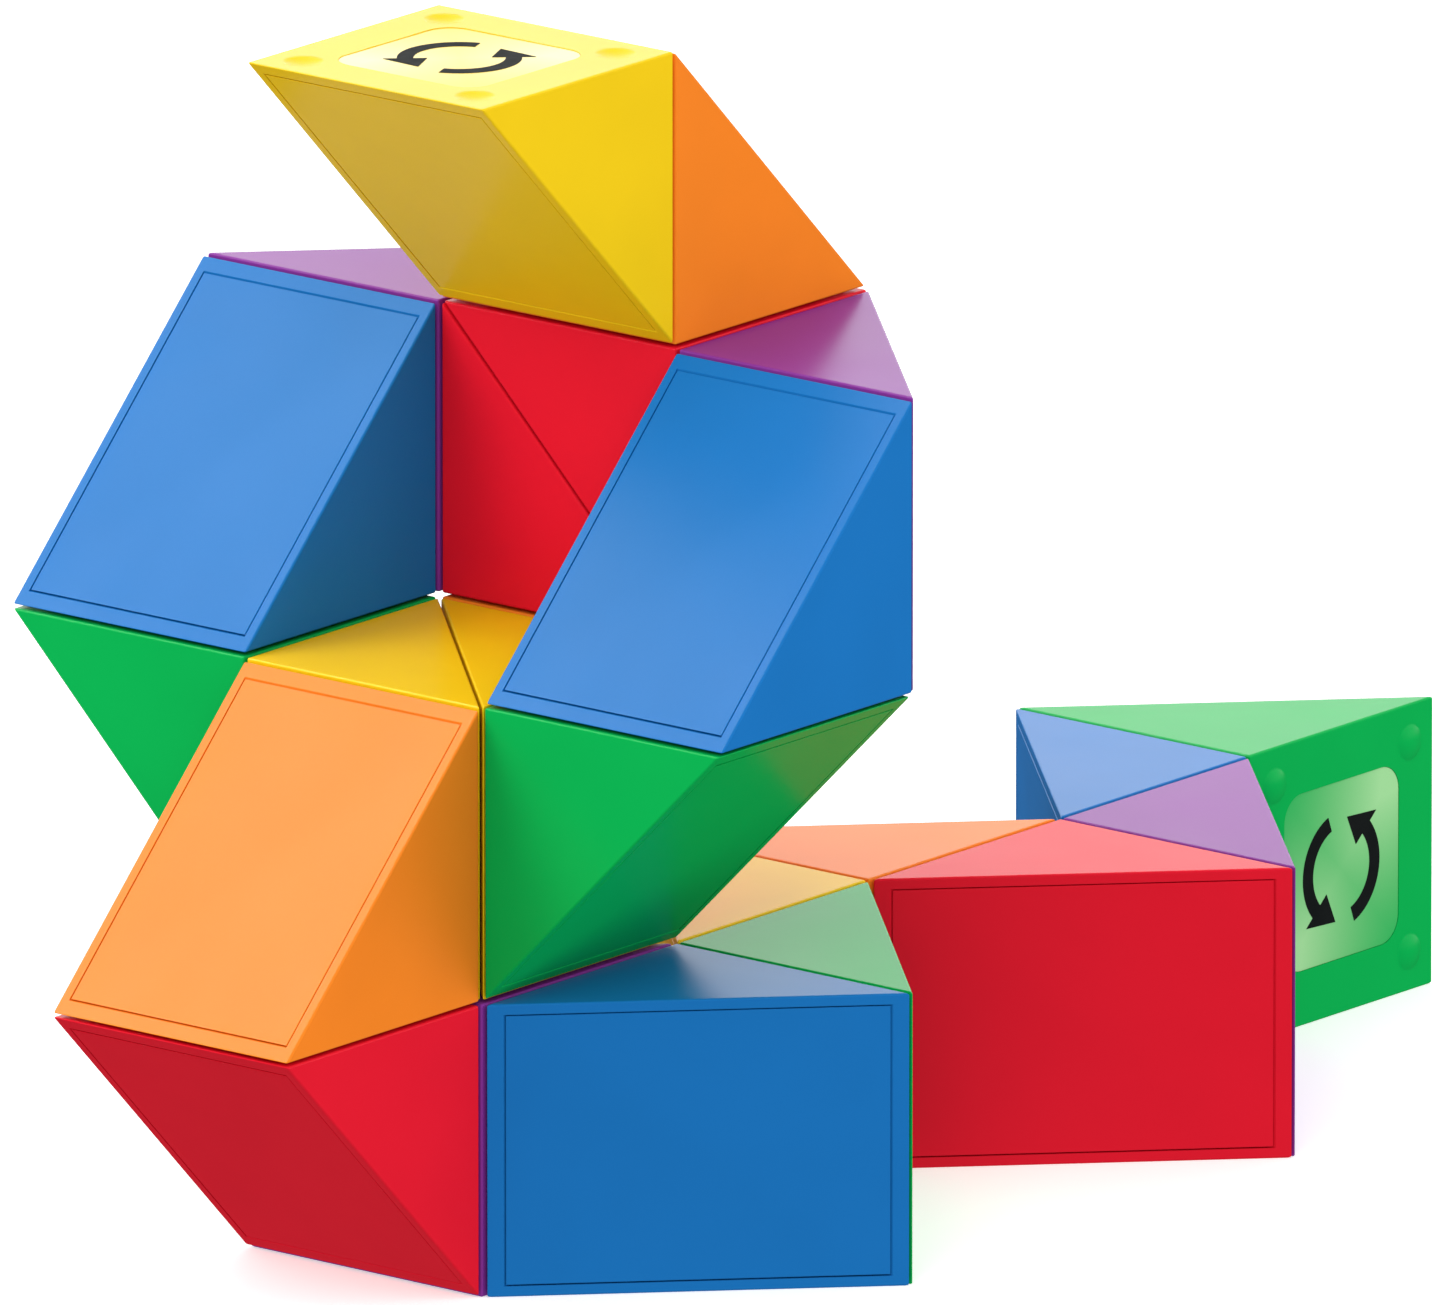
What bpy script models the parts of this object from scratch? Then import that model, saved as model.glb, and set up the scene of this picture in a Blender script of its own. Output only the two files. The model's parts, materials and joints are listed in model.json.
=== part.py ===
"""A snake puzzle: 24 hollow plastic wedges in one chain, folded up.

A wedge is half of a square block, cut along its diagonal. In a wedge's own frame the origin is the
middle of that block, the entry face looks along -X, the exit face along +Y, the slanted face
between them along (+X, -Y), and the two triangular faces along +Z and -Z. Each wedge turns on the
one before it about its own X axis, on a headed pivot that the hollow wedge before it holds captive.
"""
import math

import bmesh
import bpy
from mathutils import Matrix

MM = 0.001

# Wedge
LEG = 24.0 * MM                # side of a wedge's square entry and exit faces
FACE_GAP = 0.3 * MM            # air between the faces of joined wedges
SLANT_RECESS = 0.12 * MM       # how far each slanted face lies behind its block's diagonal
FACE_WALL = 0.9 * MM           # wall behind the entry and exit faces
SIDE_WALL = 0.8 * MM           # wall behind the triangular faces
EDGE_CHAMFER = 0.22 * MM

# Cover that closes the slanted face
COVER_THICKNESS = 1.2 * MM
COVER_CLEARANCE = 0.25 * MM
COVER_CHAMFER = 0.12 * MM
TAB_THICKNESS = 1.0 * MM
TAB_LENGTH = 5.0 * MM
TAB_DEPTH = 2.6 * MM
NIB_HEIGHT = 0.8 * MM
NIB_REACH = 0.25 * MM          # how far a snap nib reaches into the side wall
NIB_CLEARANCE = 0.25 * MM

# Click bumps on each entry face, and the dimples on each exit face
CLICK_INSET = 3.25 * MM        # from the face's edges to a bump's middle
BUMP_RADIUS = 1.6 * MM
BUMP_TOP_RADIUS = 1.1 * MM
BUMP_HEIGHT = 0.25 * MM
DIMPLE_CLEARANCE = 0.1 * MM

# Pivot
POST_RADIUS = 2.0 * MM
POST_CLEARANCE = 0.3 * MM
BOSS_RADIUS = 3.2 * MM
BOSS_CLEARANCE = 0.9 * MM      # between the boss's inner end and the slant cover
COLLAR_RIM = 1.5 * MM          # wall of the bearing collar round the post
COLLAR_LENGTH = 0.8 * MM
HEAD_RADIUS = 3.4 * MM
HEAD_THICKNESS = 1.4 * MM
HEAD_CLEARANCE = 0.65 * MM     # between the head and the slant cover of the wedge that holds it

# Badge in each free end face
BADGE_MARGIN = 4.6 * MM        # from the face's edges to the badge
BADGE_CORNER = 2.2 * MM
BADGE_THICKNESS = 0.6 * MM
BADGE_GLUE = 0.2 * MM          # adhesive layer under the badge
BADGE_CLEARANCE = 0.2 * MM
BADGE_BACKING = 0.4 * MM       # how far the backing pad reaches past the badge's edge

# The turn at each of the 23 pivots, in degrees. At 0 the wedges zigzag in one plane.
TWISTS = (180, 0, 180, 0, 180, 0, 180, 0, -90, 180, -90, -90,
          -90, 90, -90, 90, 90, -90, 90, -90, -90, 90, 0)

COLOURS = {
    "green": (0.0, 0.36, 0.09),
    "blue": (0.006, 0.12, 0.42),
    "purple": (0.12, 0.02, 0.20),
    "red": (0.58, 0.008, 0.014),
    "orange": (0.93, 0.20, 0.02),
    "yellow": (0.95, 0.68, 0.02),
}

# Derived
HALF = LEG / 2
WIDTH = LEG                    # between the triangular faces: the pivot faces are square, so they match at
                               # every quarter turn
PITCH = LEG + FACE_GAP
BASE_LENGTH = 5 * PITCH        # the flat zigzag that the folded snake stands on, first wedge to last
CLICK_OFFSET = HALF - CLICK_INSET
HOLE_RADIUS = POST_RADIUS + POST_CLEARANCE
COLLAR_DEPTH = FACE_WALL + COLLAR_LENGTH
SLANT_SET_IN = SLANT_RECESS * math.sqrt(2)                      # the recess, measured along a face
COVER_REACH = SLANT_SET_IN + COVER_THICKNESS * math.sqrt(2)     # the cover's inner side, likewise
BOSS_DEPTH = HALF - BOSS_RADIUS - COVER_REACH - BOSS_CLEARANCE * math.sqrt(2)
HEAD_DEPTH = HALF - HEAD_RADIUS - COVER_REACH - HEAD_CLEARANCE * math.sqrt(2)
BADGE_SIDE = LEG - 2 * BADGE_MARGIN
BADGE_RECESS = BADGE_THICKNESS + BADGE_GLUE
OVERCUT = 1.0 * MM             # how far a cutter runs past the surface that it opens
EMBED = 0.4 * MM               # how far an added piece starts inside the wall that it stands on
PIVOT_SIDES = 16
CLICK_SIDES = 8
CORNER_STEPS = 4

# Face frames: Z points out of the face, and the origin is the face's middle
ENTRY_FACE = Matrix.Translation((-HALF, 0, 0)) @ Matrix.Rotation(math.radians(-90), 4, "Y")
EXIT_FACE = Matrix.Translation((0, HALF, 0)) @ Matrix.Rotation(math.radians(-90), 4, "X")
SLANT_FACE = (Matrix.Rotation(math.radians(-45), 4, "Z") @ Matrix.Rotation(math.radians(90), 4, "Y")
              @ Matrix.Translation((0, 0, -SLANT_RECESS)))
CENTRE = Matrix.Identity(4)


def clear_scene():
    for obj in list(bpy.data.objects):
        bpy.data.objects.remove(obj, do_unlink=True)


def plastic(name, colour, roughness=0.32):
    material = bpy.data.materials.new(name)
    material.use_nodes = True
    shader = material.node_tree.nodes["Principled BSDF"]
    shader.inputs["Base Color"].default_value = (*colour, 1.0)
    shader.inputs["Roughness"].default_value = roughness
    shader.inputs["Metallic"].default_value = 0.0
    return material


def add_extrusion(bm, outline, low, high, place=CENTRE):
    """Add a closed prism of an anticlockwise XY outline between two heights, and give its vertices."""
    bottom = [bm.verts.new(place @ Matrix.Translation((x, y, low)).translation) for x, y in outline]
    top = [bm.verts.new(place @ Matrix.Translation((x, y, high)).translation) for x, y in outline]
    bm.faces.new(reversed(bottom))
    bm.faces.new(top)
    for i in range(len(outline)):
        j = (i + 1) % len(outline)
        bm.faces.new((bottom[i], bottom[j], top[j], top[i]))
    return bottom, top


def add_turning(bm, profile, sides, place):
    """Add a closed turned solid about Z. The profile is (radius, height) pairs from low to high."""
    rings = []
    for radius, height in profile:
        ring = []
        for i in range(sides):
            angle = 2 * math.pi * i / sides
            point = Matrix.Translation((radius * math.cos(angle), radius * math.sin(angle), height))
            ring.append(bm.verts.new((place @ point).translation))
        rings.append(ring)
    bm.faces.new(reversed(rings[0]))
    bm.faces.new(rings[-1])
    for lower, upper in zip(rings, rings[1:]):
        for i in range(sides):
            j = (i + 1) % sides
            bm.faces.new((lower[i], lower[j], upper[j], upper[i]))


def to_object(bm, name):
    mesh = bpy.data.meshes.new(name)
    bm.to_mesh(mesh)
    bm.free()
    obj = bpy.data.objects.new(name, mesh)
    bpy.context.scene.collection.objects.link(obj)
    return obj


class Solid:
    """A mesh that other meshes are joined to and cut from, one after another."""

    def __init__(self, bm):
        self.obj = to_object(bm, "solid")
        self.tools = []

    def combine(self, bm, operation):
        tool = to_object(bm, "tool")
        self.tools.append(tool)
        modifier = self.obj.modifiers.new(operation.lower(), "BOOLEAN")
        modifier.operation = operation
        modifier.object = tool

    def mesh(self, name):
        bpy.context.view_layer.update()
        graph = bpy.context.evaluated_depsgraph_get()
        mesh = bpy.data.meshes.new_from_object(self.obj.evaluated_get(graph))
        mesh.name = name
        for obj in [self.obj, *self.tools]:
            bpy.data.objects.remove(obj, do_unlink=True)
        return mesh


def rectangle(length_x, length_y):
    x, y = length_x / 2, length_y / 2
    return [(-x, -y), (x, -y), (x, y), (-x, y)]


def rounded_square(side, corner):
    """Outline of a square with round corners, anticlockwise."""
    points = []
    middle = side / 2 - corner
    for quarter in range(4):
        start = quarter * math.pi / 2
        cx = middle * (1 if quarter in (0, 3) else -1)
        cy = middle * (1 if quarter in (0, 1) else -1)
        for step in range(CORNER_STEPS + 1):
            angle = start + step / CORNER_STEPS * math.pi / 2
            points.append((cx + corner * math.cos(angle), cy + corner * math.sin(angle)))
    return points


def click_places(face):
    """The four places of a face's bumps or dimples."""
    for x in (-CLICK_OFFSET, CLICK_OFFSET):
        for y in (-CLICK_OFFSET, CLICK_OFFSET):
            yield face @ Matrix.Translation((x, y, 0))


def tab_sides():
    """The two long edges of the cover, as frames whose X points at the side wall."""
    for angle in (0, math.pi):
        yield SLANT_FACE @ Matrix.Rotation(angle, 4, "Z")


def wedge_block():
    """The wedge's outer shape, with its edges chamfered."""
    outline = [(-HALF, HALF), (-HALF, -HALF + SLANT_SET_IN), (HALF - SLANT_SET_IN, HALF)]
    bm = bmesh.new()
    add_extrusion(bm, outline, -WIDTH / 2, WIDTH / 2)
    bmesh.ops.bevel(bm, geom=bm.edges[:], offset=EDGE_CHAMFER, segments=1, profile=0.5, affect="EDGES")
    return bm


def cavity():
    """The space inside a wedge, open through the slanted face."""
    inner = HALF - FACE_WALL
    outline = [(-inner, inner), (-inner, -inner - OVERCUT), (inner + OVERCUT, inner)]
    bm = bmesh.new()
    add_extrusion(bm, outline, -WIDTH / 2 + SIDE_WALL, WIDTH / 2 - SIDE_WALL)
    return bm


def tab_profile(grow):
    """Cross-section of a snap tab (X towards the side wall, Y out of the slant), grown all round."""
    edge = WIDTH / 2 - SIDE_WALL - COVER_CLEARANCE
    tip = WIDTH / 2 - SIDE_WALL + NIB_REACH + grow
    low = -COVER_THICKNESS - TAB_DEPTH
    return edge, tip, low - grow, low + NIB_HEIGHT + grow


def snap_pockets():
    """Shallow pockets in the side walls that the cover's nibs click into."""
    bm = bmesh.new()
    _, tip, low, high = tab_profile(NIB_CLEARANCE)
    start = WIDTH / 2 - SIDE_WALL - OVERCUT
    for side in tab_sides():
        place = side @ Matrix.Translation(((start + tip) / 2, 0, 0))
        outline = rectangle(tip - start, TAB_LENGTH + 2 * NIB_CLEARANCE)
        add_extrusion(bm, outline, low, high, place)
    return bm


def click_bumps():
    bm = bmesh.new()
    profile = [(BUMP_RADIUS, -EMBED), (BUMP_RADIUS, 0), (BUMP_TOP_RADIUS, BUMP_HEIGHT)]
    for place in click_places(ENTRY_FACE):
        add_turning(bm, profile, CLICK_SIDES, place)
    return bm


def click_dimples():
    bm = bmesh.new()
    spread = (BUMP_RADIUS - BUMP_TOP_RADIUS) / BUMP_HEIGHT
    depth = BUMP_HEIGHT + DIMPLE_CLEARANCE
    mouth = BUMP_RADIUS + DIMPLE_CLEARANCE
    profile = [(mouth - depth * spread, -depth), (mouth + OVERCUT * spread, OVERCUT)]
    for place in click_places(EXIT_FACE):
        add_turning(bm, profile, CLICK_SIDES, place)
    return bm


def pivot():
    """Boss inside the entry face, and the post and head that stand out of it."""
    head_end = FACE_GAP + HEAD_DEPTH
    profile = [
        (BOSS_RADIUS, -BOSS_DEPTH),
        (BOSS_RADIUS, -EMBED),
        (POST_RADIUS, -EMBED),
        (POST_RADIUS, head_end - HEAD_THICKNESS),
        (HEAD_RADIUS, head_end - HEAD_THICKNESS),
        (HEAD_RADIUS, head_end),
    ]
    bm = bmesh.new()
    add_turning(bm, profile, PIVOT_SIDES, ENTRY_FACE)
    return bm


def collar():
    radius = HOLE_RADIUS + COLLAR_RIM
    bm = bmesh.new()
    add_turning(bm, [(radius, -COLLAR_DEPTH), (radius, -EMBED)], PIVOT_SIDES, EXIT_FACE)
    return bm


def pivot_hole():
    bm = bmesh.new()
    profile = [(HOLE_RADIUS, -COLLAR_DEPTH - OVERCUT), (HOLE_RADIUS, OVERCUT)]
    add_turning(bm, profile, PIVOT_SIDES, EXIT_FACE)
    return bm


def badge_backing(face):
    side = BADGE_SIDE + 2 * BADGE_BACKING
    bm = bmesh.new()
    add_extrusion(bm, rectangle(side, side), -BADGE_RECESS - FACE_WALL, -EMBED, face)
    return bm


def badge_recess(face):
    outline = rounded_square(BADGE_SIDE + 2 * BADGE_CLEARANCE, BADGE_CORNER + BADGE_CLEARANCE)
    bm = bmesh.new()
    add_extrusion(bm, outline, -BADGE_RECESS, OVERCUT, face)
    return bm


def body_mesh(name, first=False, last=False):
    """A hollow wedge. The first has a badge in its entry face, and the last in its exit face."""
    body = Solid(wedge_block())
    body.combine(cavity(), "DIFFERENCE")
    if first:
        body.combine(badge_backing(ENTRY_FACE), "UNION")
        body.combine(badge_recess(ENTRY_FACE), "DIFFERENCE")
    else:
        body.combine(pivot(), "UNION")
    body.combine(click_bumps(), "UNION")
    if last:
        body.combine(badge_backing(EXIT_FACE), "UNION")
        body.combine(badge_recess(EXIT_FACE), "DIFFERENCE")
    else:
        body.combine(collar(), "UNION")
        body.combine(pivot_hole(), "DIFFERENCE")
    body.combine(click_dimples(), "DIFFERENCE")
    body.combine(snap_pockets(), "DIFFERENCE")
    return body.mesh(name)


def cover_mesh(name):
    """The plate that closes the slanted face, with its ends cut to lie along the faces' walls."""
    inner = HALF - FACE_WALL - COVER_CLEARANCE
    outline = [(-inner, -inner + SLANT_SET_IN), (inner - SLANT_SET_IN, inner),
               (inner - COVER_REACH, inner), (-inner, -inner + COVER_REACH)]
    half_width = WIDTH / 2 - SIDE_WALL - COVER_CLEARANCE
    bm = bmesh.new()
    bottom, top = add_extrusion(bm, outline, -half_width, half_width)
    rim = {bottom[0], bottom[1], top[0], top[1]}
    edges = [edge for edge in bm.edges if set(edge.verts) <= rim]
    bmesh.ops.bevel(bm, geom=edges, offset=COVER_CHAMFER, segments=1, profile=0.5, affect="EDGES")
    cover = Solid(bm)

    edge, tip, low, high = tab_profile(0)
    root = edge - TAB_THICKNESS
    profile = [(root, low), (tip, low), (tip, high), (edge, high), (edge, -COVER_THICKNESS + EMBED),
               (root, -COVER_THICKNESS + EMBED)]
    stand_up = Matrix.Rotation(math.radians(90), 4, "X")
    tabs = bmesh.new()
    for side in tab_sides():
        add_extrusion(tabs, profile, -TAB_LENGTH / 2, TAB_LENGTH / 2, side @ stand_up)
    cover.combine(tabs, "UNION")
    return cover.mesh(name)


def badge_mesh(name, face):
    bm = bmesh.new()
    add_extrusion(bm, rounded_square(BADGE_SIDE, BADGE_CORNER), -BADGE_THICKNESS, 0, face)
    mesh = bpy.data.meshes.new(name)
    bm.to_mesh(mesh)
    bm.free()
    return mesh


def place_piece(name, mesh, material, parent=None, step=CENTRE):
    obj = bpy.data.objects.new(name, mesh.copy())
    bpy.context.scene.collection.objects.link(obj)
    obj.data.materials.clear()
    obj.data.materials.append(material)
    obj.parent = parent
    obj.matrix_local = step
    return obj


def next_wedge(twist):
    """A wedge's frame in the frame of the wedge before it."""
    flip = Matrix(((0, 1, 0, 0), (1, 0, 0, 0), (0, 0, -1, 0), (0, 0, 0, 1)))
    return Matrix.Translation((0, PITCH, 0)) @ Matrix.Rotation(math.radians(twist), 4, "Y") @ flip


def build_snake():
    clear_scene()
    plastics = [plastic(f"{name}_plastic", colour) for name, colour in COLOURS.items()]
    badge_plastic = plastic("badge_resin", (0.55, 0.56, 0.58), roughness=0.12)
    link = body_mesh("wedge")
    first = body_mesh("first_wedge", first=True)
    last = body_mesh("last_wedge", last=True)
    cover = cover_mesh("slant_cover")

    # The origin is on the ground under the middle of the folded snake, whose first wedge
    # stands at the +Y end with its exit face towards -Y
    step = Matrix.Translation((0, BASE_LENGTH / 2, WIDTH / 2)) @ Matrix.Rotation(math.pi, 4, "Z")
    body = None
    count = len(TWISTS) + 1
    for index in range(count):
        name = f"segment_{index + 1:02d}"
        material = plastics[index % len(plastics)]
        mesh = first if index == 0 else last if index == count - 1 else link
        body = place_piece(f"{name}_body", mesh, material, body, step)
        place_piece(f"{name}_cover", cover, material, body)
        if index == 0:
            place_piece(f"{name}_badge", badge_mesh("badge", ENTRY_FACE), badge_plastic, body)
        if index == count - 1:
            place_piece(f"{name}_badge", badge_mesh("badge", EXIT_FACE), badge_plastic, body)
        else:
            step = next_wedge(TWISTS[index])


build_snake()
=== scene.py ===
"""The looks of the folded snake puzzle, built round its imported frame.

Each piece is modelled once, in the frame of a wedge or of one of its faces, and copies of it are
placed along the snake. In a wedge's frame the origin is the middle of the square block that the
wedge is half of, the entry face looks along -X, the exit face along +Y, the slanted face between
them along (+X, -Y), and the two triangular faces along +Z and -Z. The wedges' places come from the
frame: from its joints, which lie in the gaps between the wedges, and from the badges in the two
free end faces.
"""
import json
import math

import bmesh
import bpy
from mathutils import Matrix, Vector

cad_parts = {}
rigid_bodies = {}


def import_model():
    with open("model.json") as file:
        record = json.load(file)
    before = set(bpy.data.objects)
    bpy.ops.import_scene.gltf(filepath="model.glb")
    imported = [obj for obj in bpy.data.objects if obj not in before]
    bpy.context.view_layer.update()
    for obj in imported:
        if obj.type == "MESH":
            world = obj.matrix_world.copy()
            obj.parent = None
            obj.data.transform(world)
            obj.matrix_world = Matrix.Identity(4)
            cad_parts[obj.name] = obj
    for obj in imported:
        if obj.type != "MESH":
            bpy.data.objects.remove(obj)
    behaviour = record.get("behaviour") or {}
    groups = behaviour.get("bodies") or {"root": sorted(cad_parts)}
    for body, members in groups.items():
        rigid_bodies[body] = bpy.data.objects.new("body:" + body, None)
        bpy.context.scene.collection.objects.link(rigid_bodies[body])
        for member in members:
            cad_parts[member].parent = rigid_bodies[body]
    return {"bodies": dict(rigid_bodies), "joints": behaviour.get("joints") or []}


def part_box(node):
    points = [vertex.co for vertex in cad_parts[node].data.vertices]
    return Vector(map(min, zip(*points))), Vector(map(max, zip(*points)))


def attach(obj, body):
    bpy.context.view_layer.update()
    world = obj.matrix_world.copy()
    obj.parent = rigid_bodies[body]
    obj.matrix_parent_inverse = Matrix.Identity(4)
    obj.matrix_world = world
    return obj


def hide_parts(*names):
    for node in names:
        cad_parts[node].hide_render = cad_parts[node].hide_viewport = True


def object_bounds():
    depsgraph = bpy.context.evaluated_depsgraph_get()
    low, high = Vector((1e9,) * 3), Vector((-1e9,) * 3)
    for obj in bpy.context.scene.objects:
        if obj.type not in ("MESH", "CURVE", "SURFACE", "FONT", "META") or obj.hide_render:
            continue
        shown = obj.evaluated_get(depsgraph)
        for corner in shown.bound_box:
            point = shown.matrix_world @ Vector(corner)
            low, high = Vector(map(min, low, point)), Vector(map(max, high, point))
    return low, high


MM = 0.001

# Moulded wedge
EDGE_ROUND = 0.18 * MM         # how far a rounded edge reaches over each face
EDGE_STEPS = 5
SLANT_RECESS = 0.12 * MM       # how far the slanted face lies behind the block's diagonal
FACE_WALL = 0.9 * MM
SIDE_WALL = 0.8 * MM
PANEL_CLEARANCE = 0.25 * MM    # between the walls' and the panel's nominal edges
SEAM = 0.11 * MM               # the seam that shows, in the middle of that clearance
SMOOTH_UP_TO = math.radians(34)

# Slant panel
PANEL_THICKNESS = 1.2 * MM
PANEL_ROUND = 0.07 * MM
PANEL_ROUND_STEPS = 3
TAB_THICKNESS = 1.0 * MM
TAB_LENGTH = 5.0 * MM
TAB_DEPTH = 2.6 * MM
NIB_HEIGHT = 0.8 * MM
NIB_REACH = 0.25 * MM
NIB_CLEARANCE = 0.25 * MM

# Click bumps and dimples
CLICK_INSET = 3.25 * MM
BUMP_RADIUS = 1.6 * MM
BUMP_HEIGHT = 0.25 * MM
FREE_BUMP_HEIGHT = 0.42 * MM   # on the first wedge, whose bumps click into nothing
DIMPLE_CLEARANCE = 0.1 * MM
CLICK_SIDES = 40
CLICK_RINGS = 7

# Pivot
HOLE_RADIUS = 2.3 * MM
HOLE_FLARE = 0.3 * MM
COLLAR_RIM = 1.5 * MM
COLLAR_DEPTH = 1.7 * MM        # from the exit face to the collar's inner end
BOSS_RADIUS = 3.2 * MM
BOSS_DEPTH = 5.5 * MM
BORE_RADIUS = 1.45 * MM
SHOULDER_RADIUS = 2.0 * MM
THREAD_RADIUS = 1.38 * MM
THREAD_CORE = 1.15 * MM
THREAD_PITCH = 0.5 * MM
THREAD_LENGTH = 4.5 * MM
THREAD_POINT = 0.7             # the screw's end, as a share of the core's radius
HEAD_RADIUS = 3.35 * MM
HEAD_THICKNESS = 1.3 * MM
HEAD_EASE = 0.15 * MM          # at the rim of the head's underside
HEAD_ROUND = 0.6 * MM          # round the head's top
HEAD_ROUND_STEPS = 6
HEAD_UNDERSIDE = 4.35 * MM     # below the exit face that the screw passes through
DRIVE_LENGTH = 3.0 * MM        # of each slot of the cross drive
DRIVE_WIDTH = 0.65 * MM
DRIVE_DEPTH = 0.8 * MM
WASHER_RADIUS = 3.5 * MM
WASHER_HOLE = 2.15 * MM
WASHER_THICKNESS = 0.4 * MM
WASHER_EASE = 0.06 * MM
PIVOT_GAP = 0.03 * MM          # between pieces that bear on each other
SPRING_WIRE = 0.25 * MM        # the wire's radius
SPRING_RADIUS = 2.75 * MM      # to the middle of the wire
SPRING_TURNS = 4
SPRING_CLOSED = 0.75           # turns at each end that lie flat
SPRING_EASE = 0.35             # how much of the coil's rise is eased at its ends
SPRING_STEPS = 28              # points on each turn
WIRE_SIDES = 10
LATHE_SIDES = 48

# Badge
BADGE_SIDE = 14.8 * MM
BADGE_CORNER = 2.2 * MM
BADGE_THICKNESS = 0.6 * MM
BADGE_RECESS = 0.8 * MM
BADGE_CLEARANCE = 0.03 * MM
BADGE_BACKING = 0.4 * MM
BADGE_SUNK = 0.06 * MM         # how far the badge's top lies behind the face
BADGE_ROUND = 0.18 * MM
BADGE_ROUND_STEPS = 6
CORNER_STEPS = 10

# The pictogram on a badge: two arrows that turn round its middle
MARK_RADIUS = 4.3 * MM
MARK_STROKE = 1.3 * MM
MARK_SWEEP = math.radians(112)
MARK_HEAD_WIDTH = 3.5 * MM
MARK_HEAD_SWEEP = math.radians(38)
MARK_HEIGHT = 0.03 * MM
MARK_STEPS = 24
MARK_LIFT = MARK_HEIGHT / 6    # keeps its underside clear of the badge's top
MARK_STARTS = (math.radians(20), math.radians(200))

# Base colours of the moulded plastics, in the order in which they repeat along the snake
COLOURS = {
    "green": (0.002, 0.425, 0.079),
    "blue": (0.010, 0.170, 0.505),
    "purple": (0.235, 0.035, 0.310),
    "red": (0.790, 0.010, 0.028),
    "orange": (0.930, 0.235, 0.018),
    "yellow": (0.900, 0.600, 0.008),
}
GRAIN_DEPTH = 0.01 * MM
PLASTIC_IOR = 1.14             # low, so that the wedges mirror each other only faintly
# Painted highlight on the badges: the pale colour mixed into each badge's base colour along one
# diagonal
BADGE_HIGHLIGHT_COLOURS = {
    "green": (0.360, 0.720, 0.330),
    "yellow": (0.970, 0.860, 0.400),
}
BADGE_HIGHLIGHT_SHARE = 0.4               # share of the painted highlight's colour along the badge's diagonal, at its middle
BADGE_HIGHLIGHT_ENDS = 0.9          # and how much more of it towards the ends
BADGE_LIFT = 0.03              # added to the wedge's colour where it shows through the badge
PRINT_IOR = 1.05

# Camera
VIEW_AZIMUTH = math.radians(39.12)
VIEW_ELEVATION = math.radians(15.0)
VIEW_WIDTH = 4.737             # in wedge pitches, what the picture takes in at the model's middle
VIEW_LENS = 1300.0
VIEW_SENSOR = 36.0
VIEW_AIM = (-0.0924, -0.3084)  # in wedge pitches, right and up from the folded snake's middle

# Studio: brightness of the room's walls behind the model and on the camera's side, and of the
# room below, as light that falls on the model and as what its gloss mirrors
ROOM_LIGHT = {"behind": 0.65, "front": 0.52, "below": 0.66}
ROOM_SHINE = {"behind": 2.5, "front": 0.3, "below": 0.06}
WALL_BLEND = (-0.3, 0.8)       # over which part of the way to the camera's side the walls change
BELOW_BLEND = (-0.12, 0.06)    # over which heights the room below gives way to the walls
OVERHEAD = (-0.60, -0.26, 0.75)  # from the model; distances and sizes below are in metres
OVERHEAD_DISTANCE = 0.6
OVERHEAD_SIZE = 0.60
SIDE_DISTANCE = 0.8
SIDE_SIZE = 0.5
FLOOR_SIZE = 3.0
FLOOR_CELLS = 8
FLOOR_GLOW = 0.4

# Derived
SEAM_MIDDLE = PANEL_CLEARANCE / 2
EMBED = 0.4 * MM
OVERCUT = 1.0 * MM
SLANT_SET_IN = SLANT_RECESS * math.sqrt(2)
CENTRE = Matrix.Identity(4)


# ---------------------------------------------------------------- the frame

def box_middle(node):
    low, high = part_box(node)
    return (Vector(low) + Vector(high)) / 2


def wedge_places(joints, names):
    """Each wedge's frame as a matrix, from the pivots before and after it."""
    pivots = [Vector(joint["pos_m"]) for joint in joints]
    axes = [Vector(joint["axis"]) for joint in joints]
    points = [box_middle(f"{names[0]}_badge"), *pivots, box_middle(f"{names[-1]}_badge")]
    places = {}
    for index, name in enumerate(names):
        before, after = points[index], points[index + 1]
        if index == 0:
            middle = after + axes[0] * (before - after).dot(axes[0])
        else:
            middle = before + axes[index - 1] * (after - before).dot(axes[index - 1])
        x = (middle - before).normalized()
        y = (after - middle).normalized()
        z = x.cross(y)
        place = Matrix((x, y, z)).transposed().to_4x4()
        place.translation = middle
        places[name] = place
    return places


# ---------------------------------------------------------------- mesh tools

def polar(radius, angle, middle=(0, 0)):
    return middle[0] + radius * math.cos(angle), middle[1] + radius * math.sin(angle)


def angles(sides):
    """Evenly spaced angles, once round."""
    return [2 * math.pi * i / sides for i in range(sides)]


def add_extrusion(bm, outline, low, high, place=CENTRE):
    """Add a closed prism of an anticlockwise XY outline between two heights. Gives its rings."""
    bottom = [bm.verts.new(place @ Vector((x, y, low))) for x, y in outline]
    top = [bm.verts.new(place @ Vector((x, y, high))) for x, y in outline]
    bm.faces.new(reversed(bottom))
    bm.faces.new(top)
    for i in range(len(outline)):
        j = (i + 1) % len(outline)
        bm.faces.new((bottom[i], bottom[j], top[j], top[i]))
    return bottom, top


def add_turning(bm, profile, place=CENTRE, sides=LATHE_SIDES):
    """Add a closed turned solid about Z. The profile is (radius, height) pairs, and an end of it
    that is off the axis is closed with a flat face."""
    rings = []
    for radius, height in profile:
        if radius == 0:
            rings.append([bm.verts.new(place @ Vector((0, 0, height)))] * sides)
            continue
        rings.append([bm.verts.new(place @ Vector((*polar(radius, angle), height)))
                      for angle in angles(sides)])
    if rings[0][0] is not rings[0][1]:
        bm.faces.new(reversed(rings[0]))
    if rings[-1][0] is not rings[-1][1]:
        bm.faces.new(rings[-1])
    for lower, upper in zip(rings, rings[1:]):
        for i in range(sides):
            j = (i + 1) % sides
            corners = []
            for vert in (lower[i], lower[j], upper[j], upper[i]):
                if vert not in corners:
                    corners.append(vert)
            bm.faces.new(corners)


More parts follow.
